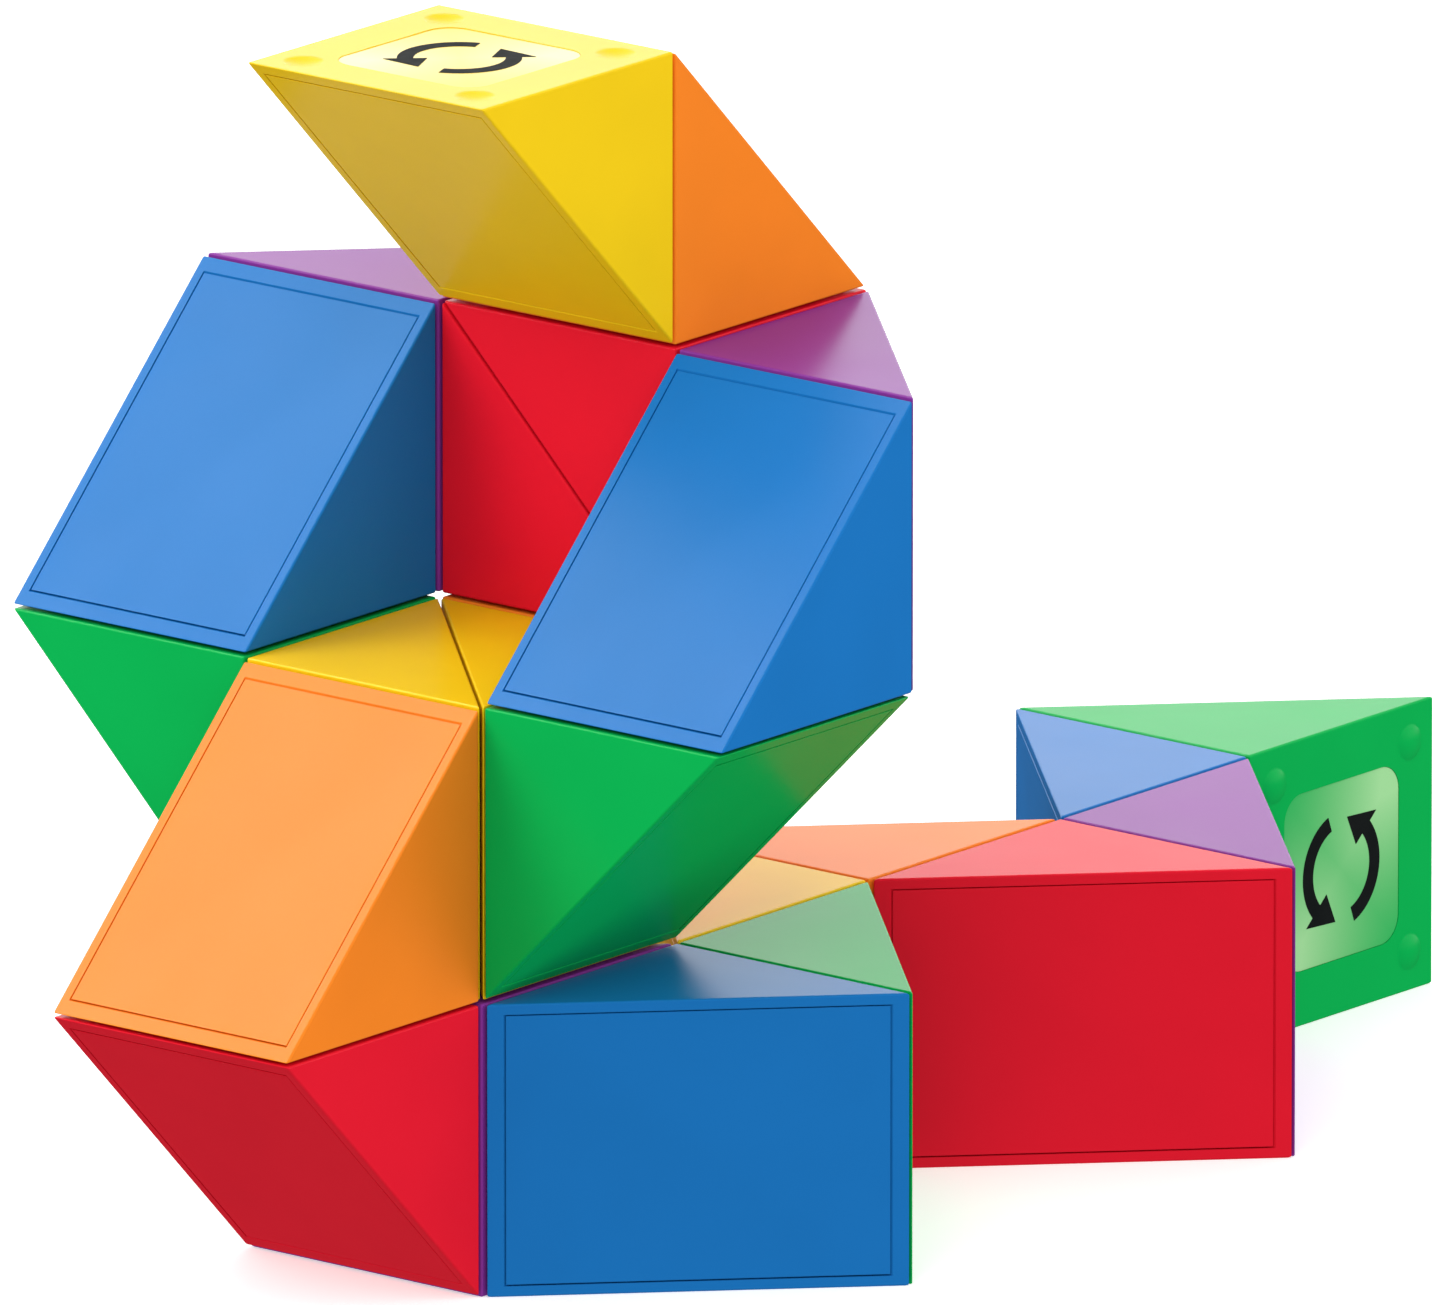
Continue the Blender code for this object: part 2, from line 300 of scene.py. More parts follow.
def add_ring(bm, outline):
    """Add a solid ring about Z, whose (radius, height) section runs anticlockwise."""
    loops = [[bm.verts.new(Vector((*polar(radius, angle), height))) for radius, height in outline]
             for angle in angles(LATHE_SIDES)]
    for i in range(LATHE_SIDES):
        here, there = loops[i], loops[(i + 1) % LATHE_SIDES]
        for k in range(len(outline)):
            n = (k + 1) % len(outline)
            bm.faces.new((here[k], there[k], there[n], here[n]))


def add_tube(bm, points, radius):
    """Add a round wire along points, with flat ends."""
    rings = []
    for k, point in enumerate(points):
        ahead = points[min(k + 1, len(points) - 1)] - points[max(k - 1, 0)]
        ahead.normalize()
        side = ahead.cross(Vector((0, 0, 1))).normalized()
        up = side.cross(ahead)
        rings.append([
            bm.verts.new(point + radius * (math.cos(angle) * side + math.sin(angle) * up))
            for angle in angles(WIRE_SIDES)])
    bm.faces.new(rings[0])
    bm.faces.new(reversed(rings[-1]))
    for lower, upper in zip(rings, rings[1:]):
        for i in range(WIRE_SIDES):
            j = (i + 1) % WIRE_SIDES
            bm.faces.new((lower[j], lower[i], upper[i], upper[j]))


def to_object(bm, name):
    bmesh.ops.recalc_face_normals(bm, faces=bm.faces)
    mesh = bpy.data.meshes.new(name)
    bm.to_mesh(mesh)
    bm.free()
    obj = bpy.data.objects.new(name, mesh)
    bpy.context.scene.collection.objects.link(obj)
    return obj


class Solid:
    """A mesh that other meshes are joined to and cut from, one after another."""

    def __init__(self, bm):
        self.obj = to_object(bm, "solid")
        self.tools = []

    def combine(self, bm, operation):
        tool = to_object(bm, "tool")
        self.tools.append(tool)
        modifier = self.obj.modifiers.new(operation.lower(), "BOOLEAN")
        modifier.operation = operation
        modifier.object = tool

    def add(self, bm):
        self.combine(bm, "UNION")

    def cut(self, bm):
        self.combine(bm, "DIFFERENCE")

    def mesh(self, name):
        bpy.context.view_layer.update()
        graph = bpy.context.evaluated_depsgraph_get()
        mesh = bpy.data.meshes.new_from_object(self.obj.evaluated_get(graph))
        mesh.name = name
        for obj in [self.obj, *self.tools]:
            bpy.data.objects.remove(obj, do_unlink=True)
        return mesh


def loose_mesh(bm, name):
    """The mesh of a bmesh that needs no joining or cutting."""
    return Solid(bm).mesh(name)


def arc(middle, radius, start, end, steps):
    """Points along an arc, both ends included."""
    return [polar(radius, start + (end - start) * step / steps, middle)
            for step in range(steps + 1)]


def rectangle(length_x, length_y):
    x, y = length_x / 2, length_y / 2
    return [(-x, -y), (x, -y), (x, y), (-x, y)]


def rounded_square(side, corner):
    points = []
    middle = side / 2 - corner
    for quarter in range(4):
        start = quarter * math.pi / 2
        cx = middle * (1 if quarter in (0, 3) else -1)
        cy = middle * (1 if quarter in (0, 1) else -1)
        points += arc((cx, cy), corner, start, start + math.pi / 2, CORNER_STEPS)
    return points


def dome(radius, height, foot):
    """Profile of a shallow dome, from its foot up to the axis."""
    ball = (radius ** 2 + height ** 2) / (2 * height)
    spread = math.asin(radius / ball)
    profile = [(radius, foot)]
    for ring in range(CLICK_RINGS + 1):
        angle = spread * (1 - ring / CLICK_RINGS)
        profile.append((ball * math.sin(angle), height - ball * (1 - math.cos(angle))))
    profile[-1] = (0, height)
    return profile


def bevel(bm, edges, reach, steps):
    bmesh.ops.bevel(bm, geom=edges, offset=reach, segments=steps, profile=0.5, affect="EDGES")


# ---------------------------------------------------------------- wedge pieces

class Wedge:
    """Sizes that follow from the wedge's leg and the gap between wedges, and the faces' frames."""

    def __init__(self, leg, gap):
        self.half = leg / 2
        self.gap = gap
        self.click_offset = self.half - CLICK_INSET
        turn_entry = Matrix.Rotation(math.radians(-90), 4, "Y")
        turn_exit = Matrix.Rotation(math.radians(-90), 4, "X")
        self.entry = Matrix.Translation((-self.half, 0, 0)) @ turn_entry
        self.exit = Matrix.Translation((0, self.half, 0)) @ turn_exit
        turn_slant = (Matrix.Rotation(math.radians(-45), 4, "Z")
                      @ Matrix.Rotation(math.radians(90), 4, "Y"))
        self.slant = turn_slant @ Matrix.Translation((0, 0, -SLANT_RECESS))

    def clicks(self, face):
        for x in (-self.click_offset, self.click_offset):
            for y in (-self.click_offset, self.click_offset):
                yield face @ Matrix.Translation((x, y, 0))

    def tab_sides(self):
        for angle in (0, math.pi):
            yield self.slant @ Matrix.Rotation(angle, 4, "Z")

    def block(self):
        half = self.half
        outline = [(-half, half), (-half, -half + SLANT_SET_IN), (half - SLANT_SET_IN, half)]
        bm = bmesh.new()
        add_extrusion(bm, outline, -half, half)
        bevel(bm, bm.edges[:], EDGE_ROUND, EDGE_STEPS)
        return bm

    def cavity(self):
        """The space inside a wedge, open through the slanted face, which ends in the seam."""
        inner = self.half - FACE_WALL - SEAM_MIDDLE + SEAM / 2
        side = self.half - SIDE_WALL - SEAM_MIDDLE + SEAM / 2
        outline = [(-inner, inner), (-inner, -inner - OVERCUT), (inner + OVERCUT, inner)]
        bm = bmesh.new()
        add_extrusion(bm, outline, -side, side)
        return bm

    def bumps(self, height):
        bm = bmesh.new()
        for place in self.clicks(self.entry):
            add_turning(bm, dome(BUMP_RADIUS, height, -EMBED), place, CLICK_SIDES)
        return bm

    def dimples(self):
        bm = bmesh.new()
        profile = dome(BUMP_RADIUS + DIMPLE_CLEARANCE, BUMP_HEIGHT + DIMPLE_CLEARANCE, -OVERCUT)
        sunk = [(radius, -height) for radius, height in reversed(profile)]
        for place in self.clicks(self.exit):
            add_turning(bm, sunk, place, CLICK_SIDES)
        return bm

    def boss(self):
        bm = bmesh.new()
        add_turning(bm, [(BOSS_RADIUS, -BOSS_DEPTH), (BOSS_RADIUS, -EMBED)], self.entry)
        return bm

    def bore(self):
        bm = bmesh.new()
        add_turning(bm, [(BORE_RADIUS, -BOSS_DEPTH - OVERCUT), (BORE_RADIUS, OVERCUT)], self.entry)
        return bm

    def collar(self):
        radius = HOLE_RADIUS + COLLAR_RIM
        bm = bmesh.new()
        add_turning(bm, [(radius, -COLLAR_DEPTH), (radius, -EMBED)], self.exit)
        return bm

    def hole(self):
        """The hole that the pivot runs in, flared at its mouth."""
        profile = [
            (HOLE_RADIUS, -COLLAR_DEPTH - OVERCUT),
            (HOLE_RADIUS, -HOLE_FLARE),
            (HOLE_RADIUS + HOLE_FLARE + OVERCUT, OVERCUT),
        ]
        bm = bmesh.new()
        add_turning(bm, profile, self.exit)
        return bm

    def badge_backing(self, face):
        side = BADGE_SIDE + 2 * BADGE_BACKING
        bm = bmesh.new()
        add_extrusion(bm, rectangle(side, side), -BADGE_RECESS - FACE_WALL, -EMBED, face)
        return bm

    def badge_recess(self, face):
        outline = rounded_square(BADGE_SIDE + 2 * BADGE_CLEARANCE, BADGE_CORNER + BADGE_CLEARANCE)
        bm = bmesh.new()
        add_extrusion(bm, outline, -BADGE_RECESS, OVERCUT, face)
        return bm

    def tab_profile(self, grow):
        """A snap tab's outer edge, and its nib's tip, low and high side, grown by a clearance."""
        edge = self.half - SIDE_WALL - PANEL_CLEARANCE
        tip = self.half - SIDE_WALL + NIB_REACH + grow
        low = -PANEL_THICKNESS - TAB_DEPTH
        return edge, tip, low - grow, low + NIB_HEIGHT + grow

    def snap_pockets(self):
        bm = bmesh.new()
        _, tip, low, high = self.tab_profile(NIB_CLEARANCE)
        start = self.half - SIDE_WALL - OVERCUT
        for side in self.tab_sides():
            place = side @ Matrix.Translation(((start + tip) / 2, 0, 0))
            outline = rectangle(tip - start, TAB_LENGTH + 2 * NIB_CLEARANCE)
            add_extrusion(bm, outline, low, high, place)
        return bm

    def shell(self, name, first=False, last=False):
        """A hollow wedge. The first has a badge's recess for an entry, and the last for an exit."""
        body = Solid(self.block())
        body.cut(self.cavity())
        if first:
            body.add(self.badge_backing(self.entry))
            body.cut(self.badge_recess(self.entry))
        else:
            body.add(self.boss())
            body.cut(self.bore())
        body.add(self.bumps(FREE_BUMP_HEIGHT if first else BUMP_HEIGHT))
        if last:
            body.add(self.badge_backing(self.exit))
            body.cut(self.badge_recess(self.exit))
        else:
            body.add(self.collar())
            body.cut(self.hole())
        body.cut(self.dimples())
        body.cut(self.snap_pockets())
        return body.mesh(name)

    def panel(self, name):
        """The plate that closes the slanted face, with two snap tabs behind it."""
        inner = self.half - FACE_WALL - SEAM_MIDDLE - SEAM / 2
        reach = SLANT_SET_IN + PANEL_THICKNESS * math.sqrt(2)
        outline = [(-inner, -inner + SLANT_SET_IN), (inner - SLANT_SET_IN, inner),
                   (inner - reach, inner), (-inner, -inner + reach)]
        side = self.half - SIDE_WALL - SEAM_MIDDLE - SEAM / 2
        bm = bmesh.new()
        bottom, top = add_extrusion(bm, outline, -side, side)
        rim = {bottom[0], bottom[1], top[0], top[1]}
        edges = [edge for edge in bm.edges if set(edge.verts) <= rim]
        bevel(bm, edges, PANEL_ROUND, PANEL_ROUND_STEPS)
        plate = Solid(bm)
        edge, tip, low, high = self.tab_profile(0)
        root = edge - TAB_THICKNESS
        foot = -PANEL_THICKNESS + EMBED
        profile = [(root, low), (tip - NIB_REACH, low), (tip, low + NIB_REACH), (tip, high),
                   (edge, high), (edge, foot), (root, foot)]
        stand_up = Matrix.Rotation(math.radians(90), 4, "X")
        tabs = bmesh.new()
        for side_place in self.tab_sides():
            add_extrusion(tabs, profile, -TAB_LENGTH / 2, TAB_LENGTH / 2, side_place @ stand_up)
        plate.add(tabs)
        return plate.mesh(name)


# ---------------------------------------------------------------- pivot hardware, in a face's frame

def screw_mesh():
    """A shoulder screw in the entry face's frame: its thread runs inwards, its head stands out."""
    end = -THREAD_LENGTH
    profile = [(0, end), (THREAD_CORE * THREAD_POINT, end)]
    turns = int((THREAD_LENGTH - 2 * THREAD_PITCH) / THREAD_PITCH)
    for turn in range(turns):
        z = end + THREAD_PITCH * (turn + 0.5)
        profile += [(THREAD_CORE, z), (THREAD_RADIUS, z + THREAD_PITCH * 0.4),
                    (THREAD_RADIUS, z + THREAD_PITCH * 0.6), (THREAD_CORE, z + THREAD_PITCH)]
    base = WEDGE.gap + HEAD_UNDERSIDE
    top = base + HEAD_THICKNESS
    profile += [(THREAD_CORE, PIVOT_GAP), (SHOULDER_RADIUS, PIVOT_GAP), (SHOULDER_RADIUS, base),
                (HEAD_RADIUS - HEAD_EASE, base), (HEAD_RADIUS, base + HEAD_EASE)]
    crown = arc((HEAD_RADIUS - HEAD_ROUND, top - HEAD_ROUND), HEAD_ROUND, 0, math.pi / 2,
                HEAD_ROUND_STEPS)
    profile += crown + [(0, top)]
    bm = bmesh.new()
    add_turning(bm, profile)
    screw = Solid(bm)
    for length_x, length_y in ((DRIVE_LENGTH, DRIVE_WIDTH), (DRIVE_WIDTH, DRIVE_LENGTH)):
        slot = bmesh.new()
        add_extrusion(slot, rectangle(length_x, length_y), top - DRIVE_DEPTH, top + OVERCUT)
        screw.cut(slot)
    return screw.mesh("pivot_screw")


def washer_mesh():
    """In the exit face's frame: a ring with eased edges between the screw's head and the spring."""
    high = -HEAD_UNDERSIDE + WASHER_THICKNESS + PIVOT_GAP
    low = -HEAD_UNDERSIDE + PIVOT_GAP
    ease = WASHER_EASE
    outline = [
        (WASHER_HOLE, low + ease), (WASHER_HOLE + ease, low), (WASHER_RADIUS - ease, low),
        (WASHER_RADIUS, low + ease), (WASHER_RADIUS, high - ease), (WASHER_RADIUS - ease, high),
        (WASHER_HOLE + ease, high), (WASHER_HOLE, high - ease),
    ]
    bm = bmesh.new()
    add_ring(bm, outline)
    return loose_mesh(bm, "pivot_washer")


def spring_mesh():
    """In the exit face's frame: a coil with closed ends between the washer and the collar."""
    low = -HEAD_UNDERSIDE + WASHER_THICKNESS + 2 * PIVOT_GAP + SPRING_WIRE
    high = -COLLAR_DEPTH - PIVOT_GAP - SPRING_WIRE
    points = []
    for step in range(SPRING_TURNS * SPRING_STEPS + 1):
        turn = step / SPRING_STEPS
        rise = min(max((turn - SPRING_CLOSED) / (SPRING_TURNS - 2 * SPRING_CLOSED), 0), 1)
        eased = rise * rise * (3 - 2 * rise)
        lift = eased * SPRING_EASE + rise * (1 - SPRING_EASE)
        points.append(Vector((*polar(SPRING_RADIUS, 2 * math.pi * turn),
                              low + (high - low) * lift)))
    bm = bmesh.new()
    add_tube(bm, points, SPRING_WIRE)
    return loose_mesh(bm, "pivot_spring")


# ---------------------------------------------------------------- badge, in a face's frame

def badge_mesh():
    """A rounded square, whose UV map runs once across its face. The bevel rounds nothing here: it
    only adds rings of points down the badge's straight side."""
    top = -BADGE_SUNK
    bm = bmesh.new()
    _, ring = add_extrusion(bm, rounded_square(BADGE_SIDE, BADGE_CORNER), -BADGE_THICKNESS, top)
    rim = [edge for edge in bm.edges if set(edge.verts) <= set(ring)]
    bevel(bm, rim, BADGE_ROUND, BADGE_ROUND_STEPS)
    mesh = loose_mesh(bm, "badge")
    uv = mesh.uv_layers.new(name="badge")
    for loop in mesh.loops:
        x, y, _ = mesh.vertices[loop.vertex_index].co
        uv.data[loop.index].uv = (x / BADGE_SIDE + 0.5, y / BADGE_SIDE + 0.5)
    return mesh


def mark_mesh(start):
    """One of the two arrows that turn round the badge's middle."""
    inner = MARK_RADIUS - MARK_STROKE / 2
    outer = MARK_RADIUS + MARK_STROKE / 2
    end = start + MARK_SWEEP
    outline = arc((0, 0), outer, start, end, MARK_STEPS)
    outline.append(polar(MARK_RADIUS + MARK_HEAD_WIDTH / 2, end))
    outline.append(polar(MARK_RADIUS, end + MARK_HEAD_SWEEP))
    outline.append(polar(MARK_RADIUS - MARK_HEAD_WIDTH / 2, end))
    outline += arc((0, 0), inner, end, start, MARK_STEPS)
    bm = bmesh.new()
    low = -BADGE_SUNK + MARK_LIFT
    add_extrusion(bm, outline, low, low + MARK_HEIGHT)
    return loose_mesh(bm, "mark")


# ---------------------------------------------------------------- materials

class Nodes:
    """A material's node tree, with short calls to add and link nodes."""

    def __init__(self, name):
        self.material = bpy.data.materials.new(name)
        self.material.use_nodes = True
        self.tree = self.material.node_tree
        self.shader = self.tree.nodes["Principled BSDF"]

    def node(self, kind, **values):
        made = self.tree.nodes.new(kind)
        for key, value in values.items():
            setattr(made, key, value)
        return made

    def link(self, source, target):
        self.tree.links.new(source, target)

    def set(self, **values):
        for key, value in values.items():
            self.shader.inputs[key.replace("_", " ")].default_value = value

    def noise(self, scale, detail):
        place = self.node("ShaderNodeTexCoord")
        noise = self.node("ShaderNodeTexNoise")
        noise.inputs["Scale"].default_value = scale
        noise.inputs["Detail"].default_value = detail
        self.link(place.outputs["Object"], noise.inputs["Vector"])
        return noise.outputs["Fac"]

    def ramp(self, factor, low, high):
        """A number that runs from low to high as the factor runs over its middle part."""
        spread = self.node("ShaderNodeMapRange")
        spread.inputs["From Min"].default_value = 0.3
        spread.inputs["From Max"].default_value = 0.7
        spread.inputs["To Min"].default_value = low
        spread.inputs["To Max"].default_value = high
        self.link(factor, spread.inputs["Value"])
        return spread.outputs["Result"]

    def mix(self, factor, first, second):
        mix = self.node("ShaderNodeMix", data_type="RGBA")
        mix.inputs["A"].default_value = (*first, 1)
        mix.inputs["B"].default_value = (*second, 1)
        self.link(factor, mix.inputs["Factor"])
        return mix.outputs["Result"]

    def colour(self, low, high, noise, spread=False):
        """A base colour that wanders between two, over a noise of a scale and a detail."""
        factor = self.noise(*noise)
        if spread:
            factor = self.ramp(factor, 0, 1)
        self.link(self.mix(factor, low, high), self.shader.inputs["Base Color"])

    def roughness(self, low, high, noise):
        self.link(self.ramp(self.noise(*noise), low, high), self.shader.inputs["Roughness"])

    def grain(self, strength, noise):
        bump = self.node("ShaderNodeBump")
        bump.inputs["Strength"].default_value = strength
        bump.inputs["Distance"].default_value = GRAIN_DEPTH
        self.link(self.noise(*noise), bump.inputs["Height"])
        self.link(bump.outputs["Normal"], self.shader.inputs["Normal"])


def scaled(colour, factor):
    return tuple(min(value * factor, 1) for value in colour)


def moulded_plastic(name, colour):
    """Satin moulded plastic: faint flow marks in its colour, uneven gloss and a fine tool grain."""
    nodes = Nodes(f"{name}_plastic")
    nodes.colour(scaled(colour, 0.975), scaled(colour, 1.025), noise=(90, 3), spread=True)
    nodes.roughness(0.22, 0.25, noise=(120, 1))
    nodes.grain(0.01, noise=(900, 1))
    nodes.set(IOR=PLASTIC_IOR)
    return nodes.material


def badge_resin(name, highlight_colour, base):
    """Clear resin over the wedge's colour, with a painted highlight: paler along one diagonal and
    towards its ends.
    """
    nodes = Nodes(name)
    place = nodes.node("ShaderNodeUVMap", uv_map="badge")
    split = nodes.node("ShaderNodeSeparateXYZ")
    nodes.link(place.outputs["UV"], split.inputs["Vector"])

    def maths(operation, first, second):
        made = nodes.node("ShaderNodeMath", operation=operation)
        for socket, value in zip(made.inputs, (first, second)):
            if isinstance(value, float):
                socket.default_value = value
            else:
                nodes.link(value, socket)
        return made.outputs[0]

    u, v = split.outputs["X"], split.outputs["Y"]
    across = maths("ABSOLUTE", maths("SUBTRACT", maths("ADD", u, v), 1.0), 0.0)
    along = maths("ABSOLUTE", maths("SUBTRACT", u, v), 0.0)
    ends = maths("ADD", maths("MULTIPLY", along, BADGE_HIGHLIGHT_ENDS), BADGE_HIGHLIGHT_SHARE)
    # painted highlight: strongest on the diagonal, and more so towards its ends
    pale = maths("MULTIPLY", maths("SUBTRACT", 1.0, across), ends)
    seen_through = tuple(value + BADGE_LIFT for value in base)
    nodes.link(nodes.mix(pale, seen_through, highlight_colour), nodes.shader.inputs["Base Color"])
    nodes.roughness(0.08, 0.11, noise=(300, 2))
    nodes.grain(0.02, noise=(500, 2))
    nodes.set(IOR=PLASTIC_IOR)
    return nodes.material


def printed_black():
    nodes = Nodes("badge_print")
    nodes.colour((0.006, 0.008, 0.008), (0.012, 0.014, 0.014), noise=(400, 2))
    nodes.roughness(0.40, 0.50, noise=(900, 2))
    nodes.set(IOR=PRINT_IOR)
    return nodes.material


def steel(name, roughness):
    """Zinc-plated steel with uneven gloss and a fine grain."""
    nodes = Nodes(name)
    nodes.colour((0.52, 0.53, 0.55), (0.66, 0.67, 0.68), noise=(600, 3))
    nodes.roughness(roughness * 0.8, roughness * 1.2, noise=(1500, 3))
    nodes.grain(0.1, noise=(5000, 2))
    nodes.set(Metallic=1.0)
    return nodes.material


def floor_material():
    nodes = Nodes("floor_paper")
    nodes.colour((0.90, 0.90, 0.90), (0.93, 0.93, 0.93), noise=(3, 2))
    nodes.roughness(0.85, 0.95, noise=(20, 2))
    nodes.set(Specular_IOR_Level=0.0, Emission_Color=(1, 1, 1, 1), Emission_Strength=FLOOR_GLOW)
    return nodes.material


# ---------------------------------------------------------------- placing

def place_piece(name, mesh, place, material, body):
    """A copy of a mesh at a place, riding on a body."""
    obj = bpy.data.objects.new(name, mesh.copy())
    obj.data.name = name
    bpy.context.scene.collection.objects.link(obj)
    obj.data.materials.append(material)
    obj.matrix_world = place
    obj.data.shade_smooth()
    obj.data.set_sharp_from_angle(angle=SMOOTH_UP_TO)
    flatten = obj.modifiers.new("flat_faces", "WEIGHTED_NORMAL")
    flatten.keep_sharp = True
    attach(obj, body)
    return obj


def build_wedges(names, places, plastics):
    """A shell and a slant panel for each wedge, in the plastics' order, over and over."""
    link = WEDGE.shell("wedge")
    first = WEDGE.shell("first_wedge", first=True)
    last = WEDGE.shell("last_wedge", last=True)
    panel = WEDGE.panel("slant_panel")
    slots = list(plastics)
    for index, name in enumerate(names):
        mesh = first if index == 0 else last if index == len(names) - 1 else link
        slot = slots[index % len(slots)]
        shell = place_piece(f"{name}_shell", mesh, places[name], plastics[slot], name)
        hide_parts(f"{name}_body")
        plate = place_piece(f"{name}_slant_panel", panel, places[name], plastics[slot], name)
        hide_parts(f"{name}_cover")


def build_badges(names, places, plastics):
    """A plate and two printed arrows in each free end face of the snake."""
    badge = badge_mesh()
    black = printed_black()
    arrows = [mark_mesh(start) for start in MARK_STARTS]
    slots = list(plastics)
    for index, face in ((0, WEDGE.entry), (len(names) - 1, WEDGE.exit)):
        name = names[index]
        colour = slots[index % len(slots)]
        resin = badge_resin(f"{colour}_badge_resin", BADGE_HIGHLIGHT_COLOURS[colour], COLOURS[colour])
        place = places[name] @ face
        plate = place_piece(f"{name}_badge_resin", badge, place, resin, name)
        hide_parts(f"{name}_badge")
        for number, arrow in enumerate(arrows, 1):
            place_piece(f"{name}_badge_arrow_{number}", arrow, place, black, name)


def build_pivots(names, places):
    """Each wedge but the first has a screw in its entry face, whose washer and spring are held in
    the wedge before it."""
    screw, washer, spring = screw_mesh(), washer_mesh(), spring_mesh()
    screw_steel = steel("screw_steel", 0.3)
    spring_steel = steel("spring_steel", 0.22)
    for number, (before, after) in enumerate(zip(names, names[1:]), 1):
        pivot = f"pivot_{number:02d}"
        driven = places[after] @ WEDGE.entry
        held = places[before] @ WEDGE.exit
        place_piece(f"{pivot}_screw", screw, driven, screw_steel, after)
        place_piece(f"{pivot}_washer", washer, held, screw_steel, before)
        place_piece(f"{pivot}_spring", spring, held, spring_steel, before)


# ---------------------------------------------------------------- studio

def camera_axes():
    """The camera's right, up and back directions."""
    sin_a, cos_a = math.sin(VIEW_AZIMUTH), math.cos(VIEW_AZIMUTH)
    sin_e, cos_e = math.sin(VIEW_ELEVATION), math.cos(VIEW_ELEVATION)
    right = Vector((cos_a, sin_a, 0))
    back = Vector((sin_a * cos_e, -cos_a * cos_e, sin_e))
    return right, back.cross(right), back


def add_camera(middle, pitch):
    right, up, back = camera_axes()
    data = bpy.data.cameras.new("camera")
    data.sensor_width = VIEW_SENSOR
    data.lens = VIEW_LENS
    distance = VIEW_WIDTH * pitch * VIEW_LENS / VIEW_SENSOR
    data.clip_start = distance / 100
    data.clip_end = distance * 10
    camera = bpy.data.objects.new("camera", data)
    bpy.context.scene.collection.objects.link(camera)
    aim = middle + (right * VIEW_AIM[0] + up * VIEW_AIM[1]) * pitch
    place = Matrix((right, up, back)).transposed().to_4x4()
    place.translation = aim + back * distance
    camera.matrix_world = place
    bpy.context.scene.camera = camera


def add_softbox(name, middle, direction, distance, size, power, shine=False):
    """A square light in a direction from the model, facing it. It either lights the model's
    colours or, with shine, is only mirrored in its gloss."""
    data = bpy.data.lights.new(name, "AREA")
    data.shape = "RECTANGLE"
    data.size = data.size_y = size
    data.energy = power
    light = bpy.data.objects.new(name, data)
    bpy.context.scene.collection.objects.link(light)
    light.visible_glossy = shine
    light.visible_diffuse = not shine
    away = Vector(direction).normalized()
    light.location = middle + away * distance
    light.rotation_euler = away.to_track_quat("Z", "Y").to_euler()


def add_lights(middle):
    """Powers are in watts; the side lights' directions are relative to the camera."""
    right, _, back = camera_axes()

    def towards(to_right, to_back, upwards):
        return back * to_back + right * to_right + Vector((0, 0, upwards))

    for name, power, shine in (("overhead", 1.6, False), ("overhead_shine", 18.0, True)):
        add_softbox(name, middle, OVERHEAD, OVERHEAD_DISTANCE, OVERHEAD_SIZE, power, shine)
    for name, direction, power in (("left", towards(-1, 0.25, 0.35), 1.8),
                                   ("right", towards(1, 0.1, 0.25), 2.0),
                                   ("front", towards(0, 1, 0.45), 2.6)):
        add_softbox(name, middle, direction, SIDE_DISTANCE, SIDE_SIZE, power)


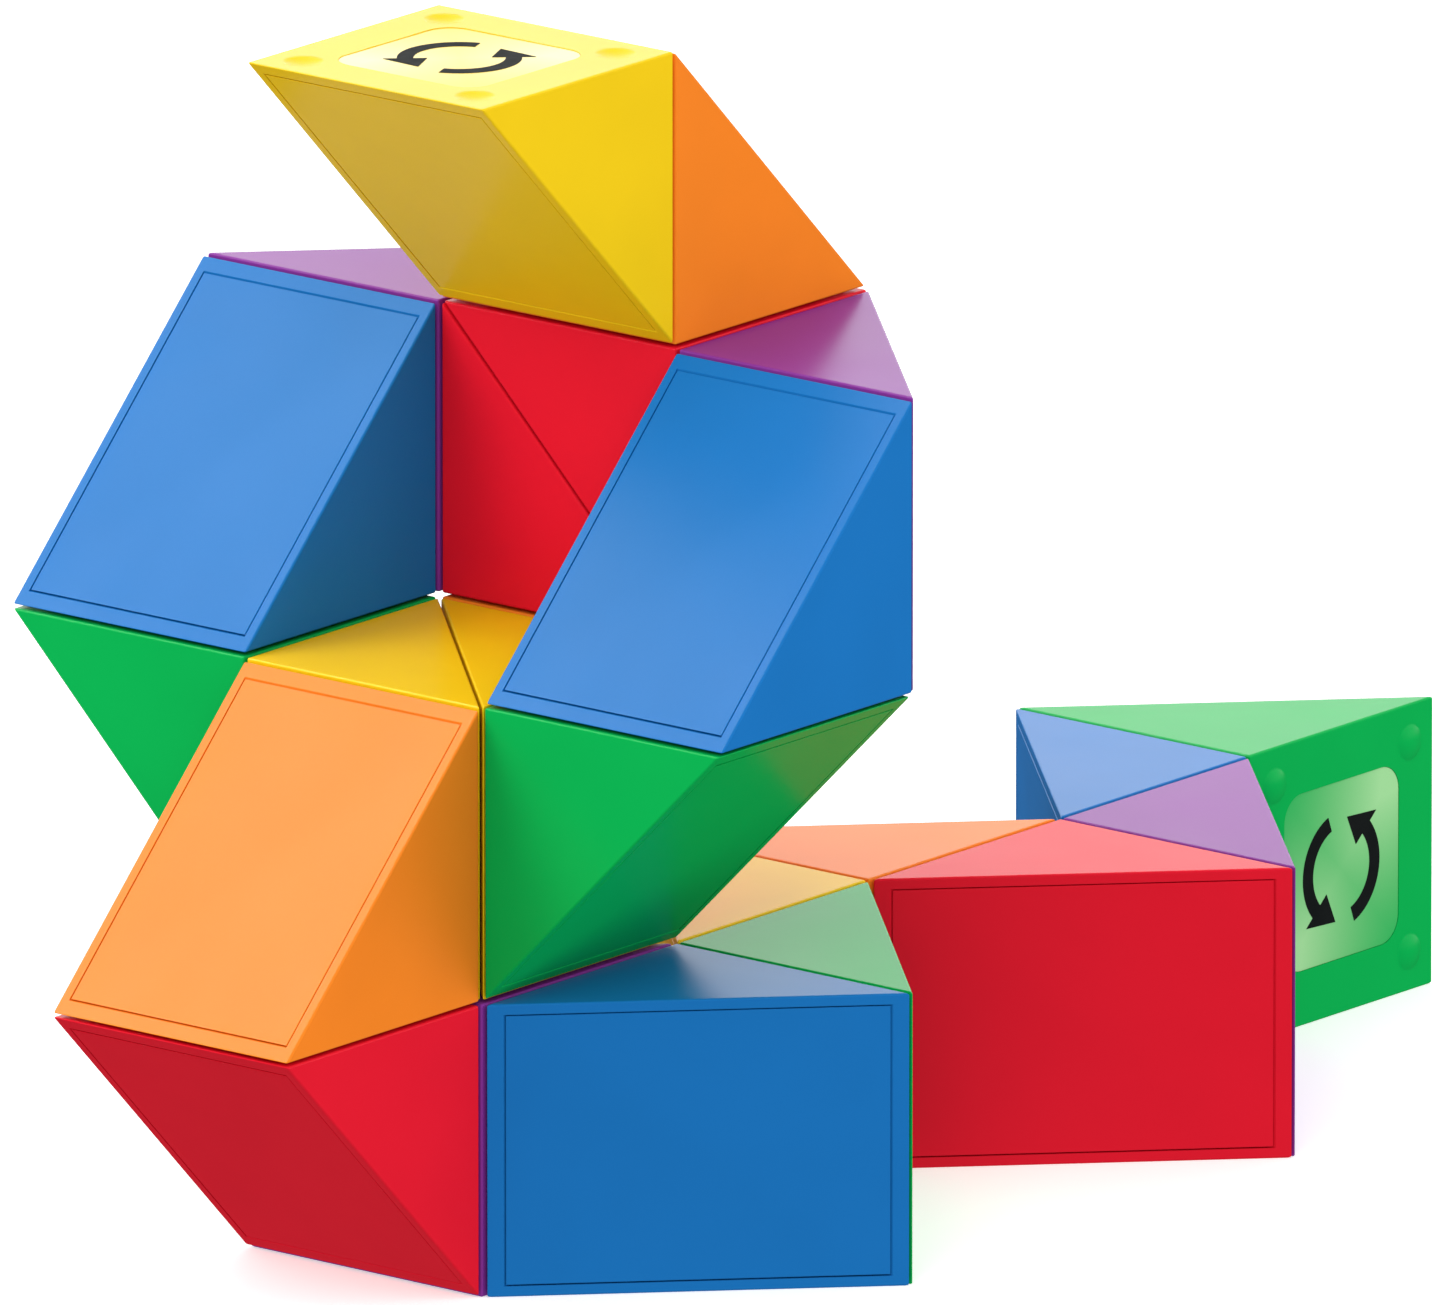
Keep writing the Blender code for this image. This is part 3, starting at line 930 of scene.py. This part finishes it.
def add_surroundings():
    """A pale room, white to the camera, whose walls are brighter behind the model than on the
    camera's side."""
    _, _, back = camera_axes()
    world = bpy.data.worlds.new("studio")
    bpy.context.scene.world = world
    world.use_nodes = True
    tree = world.node_tree
    background = tree.nodes["Background"]
    background.inputs["Color"].default_value = (1, 1, 1, 1)
    place = tree.nodes.new("ShaderNodeTexCoord")
    facing = tree.nodes.new("ShaderNodeVectorMath")
    facing.operation = "DOT_PRODUCT"
    facing.inputs[1].default_value = Vector((back.x, back.y, 0)).normalized()
    tree.links.new(place.outputs["Generated"], facing.inputs[0])
    split = tree.nodes.new("ShaderNodeSeparateXYZ")
    tree.links.new(place.outputs["Generated"], split.inputs["Vector"])
    above = blend_range(tree, split.outputs["Z"], BELOW_BLEND, (0, 1))
    rays = tree.nodes.new("ShaderNodeLightPath")
    strengths = []
    for room in (ROOM_LIGHT, ROOM_SHINE):
        walls = blend_range(tree, facing.outputs["Value"], WALL_BLEND,
                            (room["behind"], room["front"]))
        strengths.append(pick(tree, above, room["below"], walls))
    unseen = pick(tree, rays.outputs["Is Glossy Ray"], *strengths)
    strength = pick(tree, rays.outputs["Is Camera Ray"], unseen, 1.0)
    tree.links.new(strength, background.inputs["Strength"])


def pick(tree, factor, first, second):
    """The first number where the factor is 0, and the second where it is 1."""
    mix = tree.nodes.new("ShaderNodeMix")
    tree.links.new(factor, mix.inputs["Factor"])
    for socket, value in (("A", first), ("B", second)):
        if isinstance(value, float):
            mix.inputs[socket].default_value = value
        else:
            tree.links.new(value, mix.inputs[socket])
    return mix.outputs["Result"]


def blend_range(tree, value, between, results):
    """A number that eases from one result to the other as the value crosses a range."""
    spread = tree.nodes.new("ShaderNodeMapRange")
    spread.interpolation_type = "SMOOTHSTEP"
    spread.inputs["From Min"].default_value, spread.inputs["From Max"].default_value = between
    spread.inputs["To Min"].default_value, spread.inputs["To Max"].default_value = results
    tree.links.new(value, spread.inputs["Value"])
    return spread.outputs["Result"]


def add_floor():
    """A plain pale floor that the model neither mirrors nor takes light or shadow from."""
    bm = bmesh.new()
    bmesh.ops.create_grid(bm, x_segments=FLOOR_CELLS, y_segments=FLOOR_CELLS, size=FLOOR_SIZE)
    floor = to_object(bm, "floor")
    floor.data.materials.append(floor_material())
    floor.visible_glossy = False
    floor.visible_diffuse = False
    floor.visible_shadow = False


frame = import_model()
cad_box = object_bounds()

segments = sorted(frame["bodies"])
joints = sorted(frame["joints"], key=lambda joint: joint["name"])
body_low, body_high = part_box(f"{segments[1]}_body")     # a wedge of the tail is one leg high
leg = body_high[2] - body_low[2]
pitch = (Vector(joints[1]["pos_m"]) - Vector(joints[0]["pos_m"])).length * math.sqrt(2)
WEDGE = Wedge(leg, pitch - leg)
wedge_at = wedge_places(joints, segments)
plastics = {name: moulded_plastic(name, colour) for name, colour in COLOURS.items()}
build_wedges(segments, wedge_at, plastics)
build_badges(segments, wedge_at, plastics)
build_pivots(segments, wedge_at)

whole_low, whole_high = (Vector(corner) for corner in cad_box)
model_middle = Vector((0, 0, (whole_low.z + whole_high.z) / 2))
add_floor()
add_lights(model_middle)
add_surroundings()
add_camera(model_middle, pitch)
bpy.context.scene.view_settings.view_transform = "Standard"
